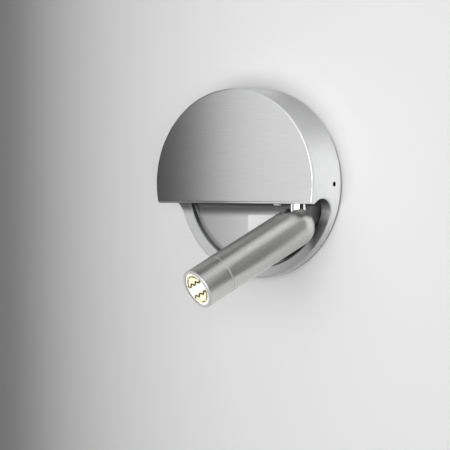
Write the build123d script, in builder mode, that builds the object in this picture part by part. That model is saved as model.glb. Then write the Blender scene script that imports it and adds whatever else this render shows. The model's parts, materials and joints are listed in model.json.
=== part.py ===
"""Swivelling wall spotlight: a round housing on the wall, with a lamp tube that folds into its recess.

Units are millimetres and degrees. X runs to the right as seen from the room, Y runs into the wall and
Z runs up. The origin is the centre of the housing's back, on the wall. Depths are measured from the
wall towards the room. The tube stands in the pose of the photograph: swung out and tilted down.
"""

from math import asin, atan, cos, degrees, radians, sin, sqrt
import os

from build123d import *

# Pose of the tube
SWIVEL_OUT = 68.6  # from lying along -X, turned towards the room
TILT_DOWN = 27.0  # below level
SWIVEL_MAX = 135.0  # furthest the tube swings out
TILT_MAX = 35.0  # furthest the tube tilts down

# Round housing
DISC_RADIUS = 55.0
FRONT_WALL = 4.3
SIDE_WALL = 6.5
LIP_BOTTOM = -11.3  # height of the front's straight lower edge
RIM_DEPTH = 6.4  # thickness of the rim below the recess
ARCH_RADIUS = 12.0  # round top of the recess
ARCH_RISE = 3.0  # how far the recess rises behind the lip
FRONT_EDGE_ROUND = 0.8
LIP_ROUND = 1.6
RIM_EDGE_ROUND = 1.0
BACK_CHAMFER = 0.5

# Lamp tube
TUBE_RADIUS = 11.65
TUBE_PROUD = 0.2  # folded tube in front of the housing
TUBE_WALL = 2.0
TUBE_REACH = 77.9  # from the tilt axis to the tube's front
DOME_OFFSET = 3.1  # centre of the round rear end, ahead of the tilt axis
RING_LENGTH = 17.4  # screwed front ring
RING_WALL = 1.0
RING_LIP = 1.2  # thickness of the lip over the lens
RING_RIM = 1.85  # width of the ring's front face
RING_EDGE_ROUND = 0.7
SEAM_GAP = 0.5  # groove between the barrel and the front ring
SEAM_DEPTH = 0.3
SPIGOT_LENGTH = 5.0

# Place of the swivel
SWIVEL_INSET = 10.8  # swivel's axis from the housing's inner wall
LIP_CLEARANCE = 0.2  # level tube below the lip
RIM_CLEARANCE = 0.8  # folded tube in front of the rim

# Swivel post
POST_RADIUS = 4.85
JOURNAL_RADIUS = 3.5
STUD_RADIUS = 3.0  # threaded top end
STUD_END = 1.0  # stud above its nut
TONGUE_THICK = 6.0
TONGUE_HEIGHT = 5.0  # from the tilt axis to the post's round part
TONGUE_CLEARANCE = 0.3
SLOT_FRONT = 2.5  # spare length of the tube's slot ahead of the post
TILT_PIN_RADIUS = 1.5
TILT_WASHER_RADIUS = 4.2
TILT_WASHER_THICK = 0.5
SHOULDER_GAP = 0.2  # post below the bush

# Fits and clearances
RUNNING_FIT = 0.05
PUSH_FIT = 0.03
LOOSE_FIT = 0.3
FACE_GAP = 0.1
MARGIN = 5.0  # overshoot of a cut

# Hinge block and its bush
BLOCK_WIDTH = 19.8
BLOCK_HEIGHT = 13.6
BLOCK_BACK = 11.4  # depth of the block's rear face
BUSH_RADIUS = 5.0
BUSH_FLANGE_RADIUS = 6.2
BUSH_FLANGE = 1.5
WASHER_THICK = 1.0
WAVE_THICK = 1.2
WASHER_RADIUS = 4.9
STOP_DISC_RADIUS = 6.9
STOP_DISC_CORE = 5.1
STOP_DISC_THICK = 1.2
STOP_PIN_RADIUS = 0.7
STOP_PIN_ORBIT = 6.0
STOP_PIN_SEAT = 2.4  # length of the stop pin in the block
STOP_SPARE = 3.0  # degrees left at each stop
NUT_RADIUS = 4.9
NUT_HEIGHT = 4.0

# Second block, which carries the far end of the inner cover
SIDE_BLOCK_INSET = 9.5  # its middle from the housing's inner wall
SIDE_BLOCK_WIDTH = 12.0
SIDE_BLOCK_HEIGHT = 11.0
SIDE_BLOCK_SCREW_PITCH = 6.0

# Screws in the blocks
M3_RADIUS = 1.5
M3_HEAD_RADIUS = 2.75
M3_SOCKET = 1.3
M3_HEAD = 1.8
BLOCK_SCREW_PITCH = 14.0
BLOCK_SCREW_RISE = 9.4  # above the blocks' undersides
BLOCK_SCREW_BITE = 3.0  # thread in the front wall
COVER_SCREW_RADIUS = 1.0
COVER_SCREW_LENGTH = 5.5
COVER_SCREW_SIDE = 8.0  # left of the swivel
COVER_SCREW_BACK = 4.5  # behind the swivel
COVER_SCREW_SOCKET = 0.6
COUNTERSINK = 45.0  # degrees from the screw's axis

# Inner cover over the driver space
COVER_DEPTH = 4.0  # front of its flat part
COVER_THICK = 1.2
COVER_BEND = 10.0
COVER_STEP = 0.5  # its ceiling above the arch
COVER_GAP = 1.2  # open gap round its edge
PAD_WIDTH = 28.0
PAD_HEIGHT = 16.0
PAD_THICK = 0.3
PAD_LEFT = -6.9
PAD_DROP = 0.6  # below the bend

# Wall plate
PLATE_THICK = 2.0
EAR_THICK = 1.5
EAR_WIDTH = 10.0
EAR_DEPTH = 10.8
GRUB_DEPTH = 7.9
GRUB_LENGTH = 6.0
GRUB_RADIUS = 1.45
GRUB_RECESS = 1.8  # below the housing's skin
GRUB_SOCKET = 0.75
SCREW_SPACING = 60.0
SLOT_LENGTH = 9.0
SLOT_WIDTH = 4.5
CABLE_X = 8.5
CABLE_Z = 3.0
CABLE_RADIUS = 4.0
GROMMET_RADIUS = 7.0
GROMMET_FLANGE_RADIUS = 8.6
GROMMET_FLANGE = 1.8
EARTH_SIDE = 20.0  # right of the cable entry
EARTH_DROP = 6.5  # below the driver's foot
EARTH_RADIUS = 2.0
EARTH_HEAD_RADIUS = 3.6
EARTH_HEAD = 2.4
SCREW_SLOT_WIDTH = 0.7
SCREW_SLOT_DEPTH = 0.8

# Driver and terminals
DRIVER_X = -3.0  # middle of the driver
DRIVER_LENGTH = 44.0
DRIVER_HEIGHT = 20.0
DRIVER_THICK = 18.0
DRIVER_RISE = 2.2  # above the terminal
DRIVER_ROUND = 1.5
DRIVER_FOOT = 5.0
DRIVER_FOOT_HEIGHT = 10.0
DRIVER_FOOT_THICK = 2.5
DRIVER_HEAD_RADIUS = 2.4
TERMINAL_POLES = 3
TERMINAL_PITCH = 7.2
TERMINAL_RISE = 3.4  # above the cover's ceiling
TERMINAL_HEIGHT = 13.0
TERMINAL_THICK = 12.0
TERMINAL_WELL = 2.2
TERMINAL_WELL_DEPTH = 3.0
TERMINAL_SCREW_RADIUS = 1.9
TERMINAL_SCREW_HEIGHT = 1.8
TERMINAL_ROW_PITCH = 7.0
TERMINAL_ENTRY = 1.5
TERMINAL_ENTRY_DEPTH = 3.0
LEAD_RADIUS = 0.9
LEAD_BORE = 1.2
LEAD_BEND = 5.0
LAMP_LEAD_RISE = 4.0  # above the driver's middle
LEAD_EXIT = 4.0  # height of the lead's way out of the post, above the tilt axis
LEAD_DEPTH = 6.5  # of the terminal's lead holes

# Push switch in the cover's ceiling
BUTTON_SIDE = 19.5  # left of the swivel
BUTTON_DEPTH = 11.2
BUTTON_RADIUS = 2.2
BUTTON_DROP = 1.2  # below the lip
BUTTON_TRAVEL = 0.9
BUTTON_FLANGE_RADIUS = 3.2
BUTTON_FLANGE = 0.8
BUTTON_EDGE_ROUND = 0.4
SWITCH_WIDTH = 12.0
SWITCH_DEEP = 9.0
SWITCH_HEIGHT = 9.0
SWITCH_FLOOR = 1.0

# Light engine
HEAT_SINK_LENGTH = 23.0
YOKE_LENGTH = 26.0  # ahead of the tilt axis
LEAD_RISE = 4.8  # lamp lead above the tube's axis
BOARD_THICK = 1.6
BOARD_CLEARANCE = 0.35  # board inside the ring
CELL_PITCH = 5.6  # of the lens cells along a row
CELL_ROW = 5.6  # outer rows from the middle one
CELL_RADIUS = 2.7  # cone behind each cell
CELL_FOOT_RADIUS = 1.5
ROW_TURN = 18.0  # of the rows about the tube's axis
ROW_NEAR = 2.5  # inner corners of the groove between two rows, from the middle
ROW_FAR = 4.1  # outer corners
LENS_RISE = 0.8
LENS_COLLAR = 1.9  # plain rim of the lens inside the ring
GROOVE_WIDTH = 0.8
CHIP_SIZE = 2.0
CHIP_HEIGHT = 0.8
LENS_FLANGE = 1.4
LENS_HOLDER_WALL = 0.7
BOARD_SCREW_RADIUS = 1.0
BOARD_SCREW_HEAD_RADIUS = 1.8
BOARD_SCREW_HEAD = 1.2
BOARD_SCREW_LENGTH = 6.0
BOARD_SCREW_CLEARANCE = 0.2  # head inside the lens holder
CHIP_TO_LENS = 0.3

# Planes
WALL = Plane.XZ
SIDE = Plane(origin=(0, 0, 0), x_dir=(0, -1, 0), z_dir=(-1, 0, 0))

# Housing figures
CAVITY_RADIUS = DISC_RADIUS - SIDE_WALL
DISC_DEPTH = RIM_DEPTH + RIM_CLEARANCE + 2 * TUBE_RADIUS - TUBE_PROUD
CAVITY_DEPTH = DISC_DEPTH - FRONT_WALL
ARCH_DEPTH = RIM_DEPTH + ARCH_RADIUS
ARCH_TOP = LIP_BOTTOM + ARCH_RISE
ARCH_Z = ARCH_TOP - ARCH_RADIUS
ARCH_FRONT = ARCH_DEPTH + sqrt(ARCH_RADIUS**2 - (LIP_BOTTOM - ARCH_Z) ** 2)
BELOW = -DISC_RADIUS - MARGIN
AHEAD = DISC_DEPTH + MARGIN

# Cover figures
COVER_RADIUS = CAVITY_RADIUS - COVER_GAP
CEILING = ARCH_TOP + COVER_STEP
CEILING_TOP = CEILING + COVER_THICK
BEND_Z = CEILING - COVER_BEND
COVER_BACK = COVER_DEPTH - COVER_THICK
BEND_DEPTH = COVER_DEPTH + COVER_BEND
CEILING_FRONT = CAVITY_DEPTH - LOOSE_FIT

# Swivel figures
SWIVEL_X = CAVITY_RADIUS - SWIVEL_INSET
SWIVEL_DEPTH = RIM_DEPTH + RIM_CLEARANCE + TUBE_RADIUS
TILT_Z = LIP_BOTTOM - LIP_CLEARANCE - TUBE_RADIUS
PIVOT = Vector(SWIVEL_X, -SWIVEL_DEPTH, TILT_Z)
BLOCK_TOP = CEILING_TOP + BLOCK_HEIGHT
FLANGE_BOTTOM = CEILING_TOP - BUSH_FLANGE
SHOULDER = FLANGE_BOTTOM - SHOULDER_GAP
WASHER_BOTTOM = BLOCK_TOP + FACE_GAP
WAVE_BOTTOM = WASHER_BOTTOM + WASHER_THICK
STOP_BOTTOM = WAVE_BOTTOM + WAVE_THICK
NUT_BOTTOM = STOP_BOTTOM + STOP_DISC_THICK
POST_TOP = NUT_BOTTOM + NUT_HEIGHT + STUD_END
BLOCK_SCREW_Z = CEILING_TOP + BLOCK_SCREW_RISE
LEAD_EXIT_Z = TILT_Z + LEAD_EXIT
STOP_SIDE = degrees(asin(STOP_PIN_RADIUS / STOP_PIN_ORBIT)) + STOP_SPARE
BUTTON_X = SWIVEL_X - BUTTON_SIDE
BUTTON_FLANGE_Z = CEILING_TOP + SWITCH_FLOOR + FACE_GAP

# Directions of the tube in its pose
HEADING = Vector(-cos(radians(SWIVEL_OUT)), -sin(radians(SWIVEL_OUT)), 0)
LEFT = Vector(-HEADING.Y, HEADING.X, 0)
FORWARD = HEADING * cos(radians(TILT_DOWN)) - Vector(0, 0, sin(radians(TILT_DOWN)))
TUBE = Plane(origin=PIVOT, x_dir=LEFT, z_dir=FORWARD)
TUBE_SIDE = Plane(origin=PIVOT, x_dir=FORWARD, z_dir=-LEFT)
TUBE_AXIS = Axis(PIVOT, FORWARD)
ROW = TUBE.x_dir * cos(radians(ROW_TURN)) + TUBE.y_dir * sin(radians(ROW_TURN))
ROWS = Plane(origin=PIVOT, x_dir=ROW, z_dir=FORWARD)
POST = Plane(origin=(SWIVEL_X, -SWIVEL_DEPTH, 0), x_dir=HEADING, z_dir=(0, 0, 1))
POST_SIDE = Plane(origin=PIVOT, x_dir=HEADING, z_dir=-LEFT)

# Tube figures, along its axis from the tilt axis
TUBE_BORE = TUBE_RADIUS - TUBE_WALL
RING_BORE = TUBE_RADIUS - RING_WALL
SPIGOT_RADIUS = RING_BORE - PUSH_FIT
RING_BACK = TUBE_REACH - RING_LENGTH
BARREL_FRONT = RING_BACK - SEAM_GAP
SPIGOT_FRONT = RING_BACK + SPIGOT_LENGTH
BOARD_FRONT = SPIGOT_FRONT + BOARD_THICK
LIP_BACK = TUBE_REACH - RING_LIP
FLANGE_BACK = LIP_BACK - LENS_FLANGE
INNER_FIT = TUBE_BORE - PUSH_FIT
REAR = DOME_OFFSET - TUBE_RADIUS
HOLDER_RADIUS = RING_BORE - PUSH_FIT
HOLDER_BORE = HOLDER_RADIUS - LENS_HOLDER_WALL
RING_APERTURE = TUBE_RADIUS - RING_RIM
LENS_FACE_RADIUS = RING_APERTURE - LENS_COLLAR
BOARD_SCREW_ORBIT = HOLDER_BORE - BOARD_SCREW_CLEARANCE - BOARD_SCREW_HEAD_RADIUS
CELL_FOOT = BOARD_FRONT + CHIP_HEIGHT + CHIP_TO_LENS
SLOT_HALF = POST_RADIUS + TONGUE_CLEARANCE
CHEEK_HALF = TONGUE_THICK / 2 + TILT_WASHER_THICK + 2 * FACE_GAP
SLOT_END = SLOT_HALF + SLOT_FRONT
SHAFT_FLOOR = TONGUE_HEIGHT - TONGUE_CLEARANCE
SWEEP_REACH = 2 * TUBE_RADIUS
TILT_PIN_HALF = sqrt((INNER_FIT - FACE_GAP) ** 2 - (DOME_OFFSET + TILT_PIN_RADIUS) ** 2)
CELL_FLARE = degrees(atan((CELL_RADIUS - CELL_FOOT_RADIUS) / (FLANGE_BACK - CELL_FOOT)))

# Direction of the post in the tube's side view at full tilt, and the rear corners of its sweep
LEAN = Vector(-sin(radians(TILT_MAX)), cos(radians(TILT_MAX)))
LEAN_HALF = Vector(-sin(radians(TILT_MAX / 2)), cos(radians(TILT_MAX / 2)))
TONGUE_HEEL = Vector(-LEAN.Y, LEAN.X) * SLOT_HALF
SHAFT_HEEL = LEAN * SHAFT_FLOOR + TONGUE_HEEL

# Spots on the planes
SIDE_BLOCK_X = SIDE_BLOCK_INSET - CAVITY_RADIUS
COVER_HEAD_RADIUS = COVER_SCREW_RADIUS + COVER_THICK - FACE_GAP
COVER_SCREW_Y = -(SWIVEL_DEPTH - COVER_SCREW_BACK)
COVER_SCREW_SPOTS = [(SWIVEL_X - COVER_SCREW_SIDE, COVER_SCREW_Y), (SIDE_BLOCK_X, COVER_SCREW_Y)]
BLOCK_SCREW_SPOTS = [
    (block_x + side * pitch / 2, BLOCK_SCREW_Z)
    for block_x, pitch in ((SWIVEL_X, BLOCK_SCREW_PITCH), (SIDE_BLOCK_X, SIDE_BLOCK_SCREW_PITCH))
    for side in (-1, 1)
]
BUTTON_SPOT = (BUTTON_X, -BUTTON_DEPTH)
SWIVEL_SPOT = (SWIVEL_X, -SWIVEL_DEPTH)
TERMINAL_BOTTOM = CEILING_TOP + TERMINAL_RISE
TERMINAL_TOP = TERMINAL_BOTTOM + TERMINAL_HEIGHT
TERMINAL_Z = TERMINAL_BOTTOM + TERMINAL_HEIGHT / 2
TERMINAL_FRONT = PLATE_THICK + TERMINAL_THICK
DRIVER_BOTTOM = TERMINAL_TOP + DRIVER_RISE
DRIVER_Z = DRIVER_BOTTOM + DRIVER_HEIGHT / 2
DRIVER_LEFT = DRIVER_X - DRIVER_LENGTH / 2
LAMP_LEAD_Z = DRIVER_Z + LAMP_LEAD_RISE
FOOT_PITCH = DRIVER_LENGTH + DRIVER_FOOT
DRIVER_SCREW_SPOTS = [(DRIVER_X + side * FOOT_PITCH / 2, DRIVER_Z) for side in (-1, 1)]
TERMINAL_X = DRIVER_LEFT + TERMINAL_POLES * TERMINAL_PITCH / 2
EARTH_X = CABLE_X + EARTH_SIDE
EARTH_Z = DRIVER_Z - DRIVER_FOOT_HEIGHT / 2 - EARTH_DROP
CELL_SPOTS = [(-CELL_PITCH / 2, 0), (CELL_PITCH / 2, 0), (0, -CELL_ROW), (0, CELL_ROW)]
ROW_STEPS = int(2 * LENS_FACE_RADIUS / CELL_PITCH) + 1
EAR_OUTER = sqrt((CAVITY_RADIUS - LOOSE_FIT) ** 2 - (EAR_WIDTH / 2) ** 2)

# Round housing, one turned and milled piece
with BuildPart() as disc_housing:
    with BuildSketch(WALL):
        Circle(DISC_RADIUS)
    extrude(amount=DISC_DEPTH)
    with BuildSketch(SIDE):
        with BuildLine():
            ThreePointArc((ARCH_FRONT, LIP_BOTTOM), (ARCH_DEPTH, ARCH_TOP), (RIM_DEPTH, ARCH_Z))
            Polyline(
                (RIM_DEPTH, ARCH_Z),
                (RIM_DEPTH, BELOW),
                (AHEAD, BELOW),
                (AHEAD, LIP_BOTTOM),
                (ARCH_FRONT, LIP_BOTTOM),
            )
        make_face()
    extrude(amount=DISC_RADIUS + MARGIN, both=True, mode=Mode.SUBTRACT)
    front_face = disc_housing.faces().sort_by(Axis.Y)[0]
    fillet(front_face.edges().filter_by(GeomType.LINE), LIP_ROUND)
    front_face = disc_housing.faces().sort_by(Axis.Y)[0]
    fillet(front_face.edges().filter_by(GeomType.CIRCLE), FRONT_EDGE_ROUND)
    rim_face = disc_housing.faces().filter_by(Axis.Y).sort_by(Axis.Z)[0]
    fillet(rim_face.edges().filter_by(GeomType.CIRCLE), RIM_EDGE_ROUND)
    back_face = disc_housing.faces().sort_by(Axis.Y)[-1]
    chamfer(back_face.edges(), BACK_CHAMFER)
    with BuildSketch(WALL):
        Circle(CAVITY_RADIUS)
    extrude(amount=CAVITY_DEPTH, mode=Mode.SUBTRACT)
    with BuildSketch(Plane.YZ):
        with Locations((-GRUB_DEPTH, 0)):
            Circle(GRUB_RADIUS + PUSH_FIT)
    extrude(amount=DISC_RADIUS + MARGIN, both=True, mode=Mode.SUBTRACT)
    with BuildSketch(WALL.offset(CAVITY_DEPTH)):
        with Locations(*BLOCK_SCREW_SPOTS):
            Circle(M3_RADIUS + PUSH_FIT)
    extrude(amount=BLOCK_SCREW_BITE, mode=Mode.SUBTRACT)

# Bent inner cover that closes the driver space above and behind the recess
with BuildPart() as inner_cover:
    with BuildSketch(SIDE):
        with BuildLine():
            Polyline(
                (COVER_DEPTH, BEND_Z),
                (COVER_DEPTH, BELOW),
                (COVER_BACK, BELOW),
                (COVER_BACK, BEND_Z),
            )
            RadiusArc((COVER_BACK, BEND_Z), (BEND_DEPTH, CEILING_TOP), COVER_BEND + COVER_THICK)
            Line((BEND_DEPTH, CEILING_TOP), (CEILING_FRONT, CEILING_TOP))
            Polyline((CEILING_FRONT, CEILING_TOP), (CEILING_FRONT, CEILING), (BEND_DEPTH, CEILING))
            RadiusArc((BEND_DEPTH, CEILING), (COVER_DEPTH, BEND_Z), -COVER_BEND)
        make_face()
    extrude(amount=DISC_RADIUS, both=True)
    with BuildSketch(WALL):
        Circle(COVER_RADIUS)
    extrude(amount=CAVITY_DEPTH, mode=Mode.INTERSECT)
    with BuildSketch(Plane.XY.offset(CEILING - MARGIN)):
        with Locations(SWIVEL_SPOT):
            Circle(BUSH_FLANGE_RADIUS + LOOSE_FIT)
        with Locations(BUTTON_SPOT):
            Circle(BUTTON_RADIUS + LOOSE_FIT)
        with Locations(*COVER_SCREW_SPOTS):
            Circle(COVER_SCREW_RADIUS + PUSH_FIT)
    extrude(amount=2 * MARGIN, mode=Mode.SUBTRACT)
    with BuildSketch(Plane.XY.offset(CEILING)):
        with Locations(*COVER_SCREW_SPOTS):
            Circle(COVER_HEAD_RADIUS + PUSH_FIT)
    extrude(amount=COVER_THICK - FACE_GAP, taper=COUNTERSINK, mode=Mode.SUBTRACT)

with BuildPart() as inner_cover_screws:
    with BuildSketch(Plane.XY.offset(CEILING)):
        with Locations(*COVER_SCREW_SPOTS):
            Circle(COVER_HEAD_RADIUS)
    extrude(amount=COVER_THICK - FACE_GAP, taper=COUNTERSINK)
    with BuildSketch(Plane.XY.offset(CEILING)):
        with Locations(*COVER_SCREW_SPOTS):
            Circle(COVER_SCREW_RADIUS)
    extrude(amount=COVER_SCREW_LENGTH)
    with BuildSketch(Plane.XY.offset(CEILING)):
        with Locations(*COVER_SCREW_SPOTS):
            RegularPolygon(COVER_SCREW_SOCKET, 6)
    extrude(amount=COVER_SCREW_SOCKET, mode=Mode.SUBTRACT)

# Blank white pad on the cover's flat part
with BuildPart() as cover_pad:
    with BuildSketch(WALL.offset(COVER_DEPTH)):
        with Locations((PAD_LEFT, BEND_Z - PAD_DROP)):
            Rectangle(PAD_WIDTH, PAD_HEIGHT, align=(Align.MIN, Align.MAX))
    extrude(amount=PAD_THICK)

# Wall plate with two bent ears, two screw slots and the cable hole
with BuildPart() as wall_plate:
    with BuildSketch(WALL):
        Circle(CAVITY_RADIUS - LOOSE_FIT)
        with GridLocations(SCREW_SPACING, 1, 2, 1):
            SlotOverall(SLOT_LENGTH, SLOT_WIDTH, mode=Mode.SUBTRACT)
        with Locations((CABLE_X, CABLE_Z)):
            Circle(GROMMET_RADIUS + PUSH_FIT, mode=Mode.SUBTRACT)
        with Locations((EARTH_X, EARTH_Z)):
            Circle(EARTH_RADIUS + PUSH_FIT, mode=Mode.SUBTRACT)
        with Locations(*DRIVER_SCREW_SPOTS):
            Circle(M3_RADIUS + PUSH_FIT, mode=Mode.SUBTRACT)
    extrude(amount=PLATE_THICK)
    with BuildSketch(WALL.offset(PLATE_THICK)):
        with GridLocations(2 * EAR_OUTER - EAR_THICK, 1, 2, 1):
            Rectangle(EAR_THICK, EAR_WIDTH)
    extrude(amount=EAR_DEPTH - PLATE_THICK)
    with BuildSketch(Plane.YZ):
        with Locations((-GRUB_DEPTH, 0)):
            Circle(GRUB_RADIUS + PUSH_FIT)
    extrude(amount=DISC_RADIUS, both=True, mode=Mode.SUBTRACT)

# Side grub screws, which lock the housing to the ears
with BuildPart() as housing_grub_screws:
    for side in (-1, 1):
        outer_end = Plane(
            origin=(side * (DISC_RADIUS - GRUB_RECESS), -GRUB_DEPTH, 0),
            x_dir=(0, 1, 0),
            z_dir=(-side, 0, 0),
        )
        with BuildSketch(outer_end):
            Circle(GRUB_RADIUS)
        extrude(amount=GRUB_LENGTH)
        with BuildSketch(outer_end):
            RegularPolygon(GRUB_SOCKET, 6)
        extrude(amount=GRUB_LENGTH / 2, mode=Mode.SUBTRACT)

# Rubber cable entry
with BuildPart() as cable_grommet:
    with BuildSketch(WALL):
        with Locations((CABLE_X, CABLE_Z)):
            Circle(GROMMET_RADIUS)
    extrude(amount=PLATE_THICK)
    with BuildSketch(WALL.offset(PLATE_THICK)):
        with Locations((CABLE_X, CABLE_Z)):
            Circle(GROMMET_FLANGE_RADIUS)
    extrude(amount=GROMMET_FLANGE)
    with BuildSketch(WALL):
        with Locations((CABLE_X, CABLE_Z)):
            Circle(CABLE_RADIUS)
    extrude(amount=PLATE_THICK + GROMMET_FLANGE, mode=Mode.SUBTRACT)

with BuildPart() as earth_screw:
    with BuildSketch(WALL):
        with Locations((EARTH_X, EARTH_Z)):
            Circle(EARTH_RADIUS)
    extrude(amount=PLATE_THICK)
    with BuildSketch(WALL.offset(PLATE_THICK)):
        with Locations((EARTH_X, EARTH_Z)):
            Circle(EARTH_HEAD_RADIUS)
    extrude(amount=EARTH_HEAD)
    with BuildSketch(WALL.offset(PLATE_THICK + EARTH_HEAD)):
        with Locations((EARTH_X, EARTH_Z)):
            Rectangle(2 * EARTH_HEAD_RADIUS, SCREW_SLOT_WIDTH)
    extrude(amount=-SCREW_SLOT_DEPTH, mode=Mode.SUBTRACT)

# Driver on the wall plate, with a foot at each end
with BuildPart() as led_driver:
    with BuildSketch(WALL.offset(PLATE_THICK)):
        with Locations((DRIVER_X, DRIVER_Z)):
            Rectangle(DRIVER_LENGTH, DRIVER_HEIGHT)
    extrude(amount=DRIVER_THICK)
    fillet(led_driver.edges().filter_by(Axis.Y), DRIVER_ROUND)
    fillet(led_driver.faces().sort_by(Axis.Y)[0].edges(), DRIVER_ROUND)
    with BuildSketch(WALL.offset(PLATE_THICK)):
        with Locations(*DRIVER_SCREW_SPOTS):
            Rectangle(DRIVER_FOOT, DRIVER_FOOT_HEIGHT)
    extrude(amount=DRIVER_FOOT_THICK)
    with BuildSketch(WALL.offset(PLATE_THICK)):
        with Locations(*DRIVER_SCREW_SPOTS):
            Circle(M3_RADIUS + PUSH_FIT)
    extrude(amount=DRIVER_FOOT_THICK, mode=Mode.SUBTRACT)

with BuildPart() as driver_screws:
    with BuildSketch(WALL):
        with Locations(*DRIVER_SCREW_SPOTS):
            Circle(M3_RADIUS)
    extrude(amount=PLATE_THICK + DRIVER_FOOT_THICK)
    with BuildSketch(WALL.offset(PLATE_THICK + DRIVER_FOOT_THICK)):
        with Locations(*DRIVER_SCREW_SPOTS):
            Circle(DRIVER_HEAD_RADIUS)
    extrude(amount=M3_HEAD)
    with BuildSketch(WALL.offset(PLATE_THICK + DRIVER_FOOT_THICK + M3_HEAD)):
        with Locations(*DRIVER_SCREW_SPOTS):
            Rectangle(2 * DRIVER_HEAD_RADIUS, SCREW_SLOT_WIDTH)
    extrude(amount=-SCREW_SLOT_DEPTH, mode=Mode.SUBTRACT)

# Mains terminal with a row of clamping screws above and below
with BuildPart() as terminal_block:
    with BuildSketch(WALL.offset(PLATE_THICK)):
        with Locations((TERMINAL_X, TERMINAL_Z)):
            Rectangle(TERMINAL_POLES * TERMINAL_PITCH, TERMINAL_HEIGHT)
    extrude(amount=TERMINAL_THICK)
    with BuildSketch(WALL.offset(TERMINAL_FRONT)):
        with Locations((TERMINAL_X, TERMINAL_Z)):
            with GridLocations(TERMINAL_PITCH, TERMINAL_ROW_PITCH, TERMINAL_POLES, 2):
                Circle(TERMINAL_WELL)
    extrude(amount=-TERMINAL_WELL_DEPTH, mode=Mode.SUBTRACT)
    for edge_z, inward in ((TERMINAL_TOP, -1), (TERMINAL_BOTTOM, 1)):
        with BuildSketch(Plane.XY.offset(edge_z)):
            with Locations((TERMINAL_X, -LEAD_DEPTH)):
                with GridLocations(TERMINAL_PITCH, 1, TERMINAL_POLES, 1):
                    Circle(TERMINAL_ENTRY)
        extrude(amount=inward * TERMINAL_ENTRY_DEPTH, mode=Mode.SUBTRACT)

with BuildPart() as terminal_screws:
    with BuildSketch(WALL.offset(TERMINAL_FRONT - TERMINAL_WELL_DEPTH)):
        with Locations((TERMINAL_X, TERMINAL_Z)):
            with GridLocations(TERMINAL_PITCH, TERMINAL_ROW_PITCH, TERMINAL_POLES, 2):
                Circle(TERMINAL_SCREW_RADIUS)
                Rectangle(2 * TERMINAL_SCREW_RADIUS, SCREW_SLOT_WIDTH, mode=Mode.SUBTRACT)
    extrude(amount=TERMINAL_SCREW_HEIGHT)
    with BuildSketch(WALL.offset(TERMINAL_FRONT - TERMINAL_WELL_DEPTH)):
        with Locations((TERMINAL_X, TERMINAL_Z)):
            with GridLocations(TERMINAL_PITCH, TERMINAL_ROW_PITCH, TERMINAL_POLES, 2):
                Circle(TERMINAL_SCREW_RADIUS)
    extrude(amount=TERMINAL_SCREW_HEIGHT - SCREW_SLOT_DEPTH)

# Leads from the terminal's outer poles up into the driver
with BuildPart() as mains_leads:
    with BuildSketch(Plane.XY.offset(TERMINAL_TOP - TERMINAL_ENTRY_DEPTH)):
        with Locations((TERMINAL_X, -LEAD_DEPTH)):
            with GridLocations((TERMINAL_POLES - 1) * TERMINAL_PITCH, 1, 2, 1):
                Circle(LEAD_RADIUS)
    extrude(amount=DRIVER_BOTTOM - TERMINAL_TOP + TERMINAL_ENTRY_DEPTH)

# Lead from the driver over to the top of the swivel post
with BuildPart() as lamp_lead:
    with BuildLine(WALL.offset(SWIVEL_DEPTH)) as lead_route:
        FilletPolyline(
            (DRIVER_LEFT + DRIVER_LENGTH, LAMP_LEAD_Z),
            (SWIVEL_X, LAMP_LEAD_Z),
            (SWIVEL_X, POST_TOP + LOOSE_FIT),
            radius=LEAD_BEND,
        )
    with BuildSketch(Plane(origin=lead_route.line @ 0, z_dir=lead_route.line % 0)):
        Circle(LEAD_RADIUS)
    sweep()

# Hinge block on the front wall, bored for the bush
with BuildPart() as hinge_block:
    with BuildSketch(WALL.offset(BLOCK_BACK)):
        with Locations((SWIVEL_X, CEILING_TOP)):
            Rectangle(BLOCK_WIDTH, BLOCK_HEIGHT, align=(Align.CENTER, Align.MIN))
        Circle(CAVITY_RADIUS - LOOSE_FIT, mode=Mode.INTERSECT)
    extrude(amount=CAVITY_DEPTH - BLOCK_BACK)
    with BuildSketch(Plane.XY.offset(CEILING_TOP)):
        with Locations(SWIVEL_SPOT):
            Circle(BUSH_RADIUS + PUSH_FIT)
    extrude(amount=BLOCK_HEIGHT, mode=Mode.SUBTRACT)
    with BuildSketch(Plane.XY.offset(CEILING)):
        with Locations(COVER_SCREW_SPOTS[0]):
            Circle(COVER_SCREW_RADIUS + PUSH_FIT)
    extrude(amount=COVER_SCREW_LENGTH + FACE_GAP, mode=Mode.SUBTRACT)
    with BuildSketch(Plane.XY.offset(BLOCK_TOP)):
        with Locations((SWIVEL_X - STOP_PIN_ORBIT, -SWIVEL_DEPTH)):
            Circle(STOP_PIN_RADIUS + PUSH_FIT)
    extrude(amount=-STOP_PIN_SEAT, mode=Mode.SUBTRACT)
    with BuildSketch(WALL.offset(BLOCK_BACK)):
        with Locations(*BLOCK_SCREW_SPOTS[:2]):
            Circle(M3_HEAD_RADIUS + FACE_GAP)
    extrude(amount=M3_HEAD, mode=Mode.SUBTRACT)
    with BuildSketch(WALL.offset(BLOCK_BACK)):
        with Locations(*BLOCK_SCREW_SPOTS[:2]):
            Circle(M3_RADIUS + PUSH_FIT)
    extrude(amount=CAVITY_DEPTH - BLOCK_BACK, mode=Mode.SUBTRACT)

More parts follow.
